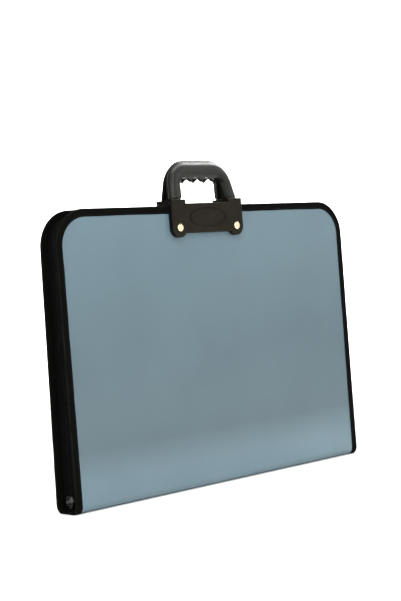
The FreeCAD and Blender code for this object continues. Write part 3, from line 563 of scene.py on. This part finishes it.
def make_sheet(side):
    """One half of the folded sheet: half of the base strip, the fold and the cover."""
    s = SIDES[side]
    half = HALF - EDGE_WALL
    corner, crown = CORNER - EDGE_WALL, RISE - EDGE_WALL
    columns = sheet_columns(half)
    rows = 90
    shells = []
    for layer in (0.0, SHEET):
        grid = []
        plain = base_profile(layer)
        sunk = base_profile(max(layer, REBATE))
        for flat, deep in zip(plain, sunk):
            line = []
            for x in columns:
                y, z = deep if abs(x) > HALF - BAND - 0.05 * MM else flat
                line.append(Vector((x, s * y, z)))
            grid.append(line)
        for j in range(1, rows + 1):
            line = []
            for x in columns:
                over = max(0.0, abs(x) - (half - corner))
                top = crown - corner + math.sqrt(max(0.0, corner ** 2 - over ** 2))
                up = FOOT + (top - FOOT) * j / rows
                line.append(on_cover(side, x, sheet_bow(x, up) - layer, up))
            grid.append(line)
        shells.append(grid)
    ring_rows = [list(a) + list(b[::-1]) for a, b in zip(*shells)]
    uv = [row_uvs(row, 4 * MM * k) for k, row in enumerate(ring_rows)]
    bm = grid_mesh(ring_rows, uv, closed=True, capped=True)
    obj = new_object(side + "_folded_sheet", bm, SHEET_BLUE)
    smooth_by_angle(obj, 40)
    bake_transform(obj)
    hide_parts(side + "_panel", "base_panel")


# ---------------------------------------------------------------- edge binding

def binding_section(fold, pull, bed):
    """Closed section of the folded tape: (in from the outer edge, out from the sheet's face).

    fold rounds the folded edge, pull draws the outer leg tighter or looser, bed is what it lies on.
    """
    outer = 1.0 * MM + pull
    back = -2.8 * MM
    points = [(BAND - 0.1 * MM, bed + 0.12 * MM + max(0.0, pull)), (BAND + 0.05 * MM, outer * 0.55),
              (BAND - 0.35 * MM, outer * 0.96)]
    spans = 7
    for i in range(1, spans):
        t = i / spans
        across = BAND * (1 - t) + fold * t - 0.4 * MM * (1 - t)
        points.append((across, outer + 0.12 * MM * math.sin(t * math.pi)))
    turn = 6
    for first, middle in ((math.pi / 2, outer - fold), (math.pi, back + fold)):
        for i in range(turn + 1):
            a = first + math.pi / 2 * i / turn
            points.append((fold + fold * math.cos(a), middle + fold * math.sin(a)))
    points += [(INNER_BAND * 0.5, back), (INNER_BAND - 0.3 * MM, back), (INNER_BAND, back + 0.5 * MM),
               (INNER_BAND - 0.2 * MM, back + 0.95 * MM),
               (EDGE_WALL, -1.85 * MM), (EDGE_WALL, bed + 0.02 * MM)]
    return points


def make_binding(side):
    """Cloth tape folded round the sheet's edge, from the middle of the underside and back."""
    s = SIDES[side]
    pull = waves(11 + s, 7, 0.018, 0.11)
    edge = waves(31 + s, 6, 0.03, 0.16)
    rows, uvs = [], []
    for place, inward, outward, length in edge_path(side, -math.pi / 2, 0.0035):
        below = place.z < CREASE
        bed = -REBATE if below else 0.0
        slack = 0.0 if below else 1.0
        section = binding_section(1.15 * MM + 0.15 * MM * pull(length) * slack,
                                  0.10 * MM * pull(length * 1.3) * slack, bed)
        row = []
        for w, d in section:
            w = w + 0.22 * MM * edge(length) * slack * (w / BAND) ** 2
            if below and outward.z < 0:
                d = min(d, place.z / -outward.z)
            row.append(place + inward * w + outward * d)
        rows.append(row)
        uvs.append(row_uvs(row, length))
    bm = grid_mesh(rows, uvs, closed=True, capped=True)
    obj = new_object(side + "_edge_binding", bm, BINDING)
    smooth_by_angle(obj, 55)
    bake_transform(obj)
    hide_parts(side + "_binding", "base_end_bindings")
    return obj


# share of a stitch's length, height over the cloth and thickness in thread radii
STITCH = ((0.0, -0.7, 0.35), (0.14, 0.15, 0.9), (0.5, 0.55, 1.0), (0.86, 0.15, 0.9), (1.0, -0.7, 0.35))


def capsule(bm, layer, start, end, lift, radius):
    """One stitch: a thread that dips into the cloth at both ends."""
    sides = 6
    direction = end - start
    length = direction.length
    direction.normalize()
    across = direction.cross(lift).normalized()
    rings = []
    for t, rise, thick in STITCH:
        middle = start + direction * (length * t) + lift * (radius * rise)
        ring = []
        for i in range(sides):
            a = 2 * math.pi * i / sides
            ring.append(bm.verts.new(middle + (across * math.cos(a) + lift * math.sin(a)) * radius * thick))
        rings.append((ring, t * length))
    for (a, u0), (b, u1) in zip(rings, rings[1:]):
        for i in range(sides):
            k = (i + 1) % sides
            face = bm.faces.new((a[i], a[k], b[k], b[i]))
            for loop, uv in zip(face.loops, ((u0, i), (u0, i + 1), (u1, i + 1), (u1, i))):
                loop[layer].uv = (uv[0], uv[1] * 0.2 * MM)
    bm.faces.new(rings[0][0][::-1])
    bm.faces.new(rings[-1][0])


def walk(points, pitch):
    """Even stations along a polyline of (point, lift)."""
    stations, carried, target = [], 0.0, 0.0
    for (a, lift_a), (b, lift_b) in zip(points, points[1:]):
        span = (b - a).length
        while target <= carried + span:
            t = (target - carried) / span if span else 0.0
            stations.append((a.lerp(b, t), lift_a.lerp(lift_b, t).normalized()))
            target += pitch
        carried += span
    return stations


def make_stitches(name, points, pitch, gap, radius, body):
    """A row of lockstitches along points, each one pitch minus the gap long."""
    bm = bmesh.new()
    layer = bm.loops.layers.uv.new("UVMap")
    stations = walk(points, pitch)
    for (a, lift), (b, _) in zip(stations, stations[1:]):
        capsule(bm, layer, a.lerp(b, gap / pitch / 2), a.lerp(b, 1 - gap / pitch / 2), lift, radius)
    bmesh.ops.recalc_face_normals(bm, faces=bm.faces)
    obj = new_object(name, bm, THREAD)
    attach(obj, body)
    return obj


def make_binding_seam(side):
    """The seam that holds the tape, near the inner edge of its outer leg."""
    lift = on_cover(side, 0, 1, 0) - on_cover(side, 0, 0, 0)
    points = []
    for x, up, _, _, _ in arch(BAND - SEAM_INSET, 2 * MM, 3 * MM):
        points.append((on_cover(side, x, 1.10 * MM, up), lift))
    return make_stitches(side + "_binding_seam", points, 3.0 * MM, 0.7 * MM, 0.28 * MM, side + "_cover")


# ---------------------------------------------------------------- gusset

def make_gusset(side):
    """Cloth wall from the sheet's inner face to the zipper, gathered at the corners."""
    s = SIDES[side]
    pucker = waves(51 + s, 9, 0.009, 0.05)
    sag = waves(71 + s, 6, 0.02, 0.12)
    rows, uvs = [], []
    path = edge_path(side, GUSSET_START, 0.0025)
    total = path[-1][3]
    from_end = RISE - CORNER + CORNER * math.pi / 4 + BEND * -GUSSET_START
    corners = (from_end, total - from_end)
    across, gather_reach, pleat = 12, 35 * MM, 1.6 * MM
    for place, inward, outward, length in path:
        gather = max(math.exp(-((length - c) / gather_reach) ** 2) for c in corners)
        row = [place + inward * w + outward * (-1.62 * MM) for w in (1.6 * MM, 5.0 * MM)]
        for k in range(across + 1):
            t = k / across
            belly = math.sin(t * math.pi)
            w = GUSSET_INSET + 0.35 * MM
            w += belly * (0.45 * MM * pucker(length + 0.004 * t) + 0.5 * MM * sag(length))
            w -= belly * gather * 1.8 * MM * (0.6 + 0.6 * math.sin(length / pleat + 3 * t))
            d = -(1.75 * MM + (GUSSET_DEPTH - 0.45 * MM) * t)
            row.append(place + inward * w + outward * d)
        rows.append(row)
        uvs.append(row_uvs(row, length))
    bm = grid_mesh(rows, uvs)
    obj = new_object(side + "_gusset_cloth", bm, GUSSET)
    thicken(obj, GUSSET_CLOTH)
    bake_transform(obj)
    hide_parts(side + "_gusset")
    return obj


def make_end_web(sign):
    """Cloth that closes the case below the end of the zipper."""
    name = "left" if sign < 0 else "right"
    pucker = waves(91 + sign, 6, 0.006, 0.02)
    rows, uvs = [], []
    columns, levels = 28, 8
    for j in range(levels + 1):
        t = j / levels
        row = []
        for i in range(columns + 1):
            u = i / columns * 2 - 1
            z = (3.0 + 6.4 * t) * MM
            reach = 15.0 * MM - 6.2 * MM * (1 - math.sin(min(1.0, (z - 2 * MM) / (7.5 * MM)) * math.pi / 2))
            y = u * reach
            x = HALF - (8.6 + 0.4 * pucker(y + 0.01 * t) + 0.3 * math.cos(u * 9) * (1 - t)) * MM
            row.append(Vector((sign * x, y, z)))
        rows.append(row)
        uvs.append([(uv[1], MM * j) for uv in row_uvs(row, 0.0)])
    bm = grid_mesh(rows, uvs)
    obj = new_object(name + "_end_web", bm, GUSSET)
    thicken(obj, WEB_CLOTH)
    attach(obj, "base")
    return obj


# ---------------------------------------------------------------- zipper

def zip_path(inset, foot, step):
    """Edge outline in world X and Z at one inset."""
    return [(x, up + CREASE, nx, nu, length)
            for x, up, nx, nu, length in arch(inset, foot - CREASE, step)]


def make_tape(side):
    """Woven zipper tape with a corded toothed edge."""
    s = SIDES[side]
    ripple = waves(111 + s, 7, 0.012, 0.07)
    rows, uvs = [], []
    for x, z, nx, nz, length in zip_path(TAPE_INSET, ZIP_FOOT, 0.0035):
        row = []
        for k in range(9):
            t = k / 8
            depth = CHAIN_REACH - 0.3 * MM + (TAPE_REACH - CHAIN_REACH) * t
            cord = 0.25 * MM * math.exp(-((t - 0.06) / 0.06) ** 2)
            out = cord + 0.22 * MM * ripple(length + 0.01 * t) * math.sin(t * math.pi)
            row.append(Vector((x + nx * out, s * depth, z + nz * out)))
        rows.append(row)
        uvs.append(row_uvs(row, length))
    bm = grid_mesh(rows, uvs)
    obj = new_object(side + "_zipper_tape_cloth", bm, TAPE)
    thicken(obj, TAPE_CLOTH)
    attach(obj, side + "_cover")
    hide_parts(side + "_zipper_tape")
    return obj


# centre line of one loop in millimetres: depth towards the tape, height over the tape
COIL_LOOP = ((3.2, 0.30), (2.0, 0.95), (0.9, 0.95), (0.15, 0.45),
             (0.15, -0.45), (0.9, -0.95), (2.0, -0.95), (3.2, -0.30))


def coil_loop(bm, centres, along, radius):
    """One loop of monofilament through its centres, closed at both ends."""
    sides = 6
    rings = []
    for k, centre in enumerate(centres):
        before, after = centres[max(0, k - 1)], centres[min(len(centres) - 1, k + 1)]
        up = (after - before).normalized().cross(along).normalized()
        ring = []
        for i in range(sides):
            a = 2 * math.pi * i / sides
            ring.append(bm.verts.new(centre + (along * math.cos(a) + up * math.sin(a)) * radius))
        rings.append(ring)
    for p, q in zip(rings, rings[1:]):
        for i in range(sides):
            k = (i + 1) % sides
            bm.faces.new((p[i], p[k], q[k], q[i]))
    bm.faces.new(rings[0][::-1])
    bm.faces.new(rings[-1])


def make_coil(side):
    """Nylon coil: one rounded loop every 1.7 mm, the two rows half a pitch apart."""
    s = SIDES[side]
    pitch, radius, head = 1.7 * MM, 0.36 * MM, 0.25 * MM
    shift = 0.0 if s < 0 else 0.5
    slant = 0.12 * MM
    points = []
    for x, z, nx, nz, _ in zip_path(TAPE_INSET, ZIP_FOOT + 0.3 * MM, 2 * MM):
        points.append((Vector((x, 0, z)), Vector((nx, 0, nz))))
    stations = walk(points, pitch)
    bm = bmesh.new()
    bm.loops.layers.uv.new("UVMap")
    for (a, normal), (b, _) in zip(stations, stations[1:]):
        if side == "front" and a.x < 0 and a.z < SLIDER_TOP + 0.5 * MM:
            continue
        along = (b - a).normalized()
        middle = a.lerp(b, shift)
        centres = []
        for k, (depth, height) in enumerate(COIL_LOOP):
            reach = Vector((0, s * (depth * MM + head), 0))
            centres.append(middle + reach + normal * (height * MM) + along * (slant * (k - 3.5)))
        coil_loop(bm, centres, along, radius)
    bmesh.ops.recalc_face_normals(bm, faces=bm.faces)
    obj = new_object(side + "_zipper_coil", bm, COIL)
    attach(obj, side + "_cover")
    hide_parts(side + "_zipper_teeth")


# ---------------------------------------------------------------- build the pieces

for side in SIDES:
    make_sheet(side)
    cloth = make_binding(side)
    seam = make_binding_seam(side)
    wall = make_gusset(side)
    tape = make_tape(side)
    make_coil(side)

for sign in (-1, 1):
    web = make_end_web(sign)
    if sign > 0:
        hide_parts("gusset_end_webs")

for side in SIDES:
    paint(side + "_handle_plate", plate_material(side))
    paint(side + "_grip", grip_material(side))
    paint(side + "_handle_backing", BACKING)
    paint(side + "_rivets", BRASS)
    paint(side + "_grip_pins", BACKING)
paint("zipper_slider", SLIDER)
paint("zipper_pull_tab", TAB)
paint("zipper_end_clips", SLIDER)


# ---------------------------------------------------------------- floor, light and camera

def make_floor():
    """Pale floor that curves up into a wall behind the case."""
    s = Shader("studio_floor", Roughness=0.6, Specular_IOR_Level=0.3)
    s.link(s.ramp(s.noise(s.place(), 3.0, 2.0), (0.0, grey(0.86)), (1.0, grey(0.9))), "Base Color")
    rows, uvs = [], []
    near, far, bend, height = -3.0, 3.2, 1.2, 4.0
    profile = [(near, 0.0), (far - bend, 0.0)]
    steps = 12
    for i in range(1, steps + 1):
        a = math.pi / 2 * i / steps
        profile.append((far - bend + bend * math.sin(a), bend - bend * math.cos(a)))
    profile.append((far, height))
    turn = Matrix.Rotation(CAMERA_AZIMUTH, 4, "Z")
    for y, z in profile:
        row = [turn @ Vector((x, y, z)) for x in (-4.0, -2.0, 0.0, 2.0, 4.0)]
        rows.append(row)
        uvs.append(row_uvs(row, y))
    floor = new_object("studio_floor", grid_mesh(rows, uvs), s.material)
    floor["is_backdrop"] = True


def area_light(name, place, target, width, height, power, spread):
    light = bpy.data.lights.new(name, "AREA")
    light.shape = "RECTANGLE"
    light.size, light.size_y = width, height
    light.energy = power
    light.spread = math.radians(spread)
    obj = bpy.data.objects.new(name, light)
    obj.location = place
    obj.rotation_euler = (Vector(target) - Vector(place)).to_track_quat("-Z", "Y").to_euler()
    bpy.context.scene.collection.objects.link(obj)


CAMERA_AZIMUTH = math.radians(-44.03)
CAMERA_ELEVATION = math.radians(1.51)
CAMERA_ROLL = math.radians(-3.94)
CAMERA_PLACE = (-1.2381, -1.2666, 0.2770)
SENSOR = 36.0               # millimetres
FOCAL = 83.68652


def make_camera():
    a, e, r = CAMERA_AZIMUTH, CAMERA_ELEVATION, CAMERA_ROLL
    back = Vector((math.sin(a) * math.cos(e), -math.cos(a) * math.cos(e), math.sin(e)))
    right = Vector((0, 0, 1)).cross(back).normalized()
    up = back.cross(right)
    right, up = right * math.cos(r) + up * math.sin(r), up * math.cos(r) - right * math.sin(r)
    data = bpy.data.cameras.new("camera")
    data.lens = FOCAL
    data.sensor_width = SENSOR
    data.clip_end = 30
    obj = bpy.data.objects.new("camera", data)
    turn = Matrix((right, up, back)).transposed().to_4x4()
    obj.matrix_world = Matrix.Translation(CAMERA_PLACE) @ turn
    bpy.context.scene.collection.objects.link(obj)
    bpy.context.scene.camera = obj


# name, place, target, width, height, power in watts, spread in degrees
LIGHTS = (
    ("key", (-1.3, -1.6, 2.2), (0, 0, 0.2), 1.6, 1.6, 46, 180),
    ("fill", (1.8, -1.6, 1.2), (0, 0, 0.2), 1.8, 1.8, 12, 180),
    ("top", (0.2, 0.5, 2.6), (0, 0, 0.2), 2.0, 2.0, 40, 180),
    ("gleam", (1.6, 0.4, 1.9), (0, 0, 0.4), 1.2, 0.9, 38, 180),
    ("edge", (-1.9, -1.3, 0.7), (0, 0, 0.3), 0.5, 0.5, 10, 180),
    ("backdrop", (0.4, 0.5, 2.4), (1.9, 1.9, 0.9), 2.4, 1.2, 110, 100),
    ("bounce", (-0.1, -0.8, 1.2), (-0.1, -0.62, 0.0), 0.9, 0.4, 4, 60),
    ("left", (-2.2, 0.0, 1.2), (0, 0, 0.3), 1.2, 0.8, 14, 180),
)

make_floor()
make_camera()
for light in LIGHTS:
    area_light(*light)

world = bpy.data.worlds.new("studio")
world.use_nodes = True
world.node_tree.nodes["Background"].inputs["Color"].default_value = (1, 1, 1, 1)
world.node_tree.nodes["Background"].inputs["Strength"].default_value = 0.5
bpy.context.scene.world = world
bpy.context.scene.view_settings.view_transform = "Standard"


def plain(box):
    return [[float(v) for v in corner] for corner in box]


{"cad": plain(cad_box), "visual": plain(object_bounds())}
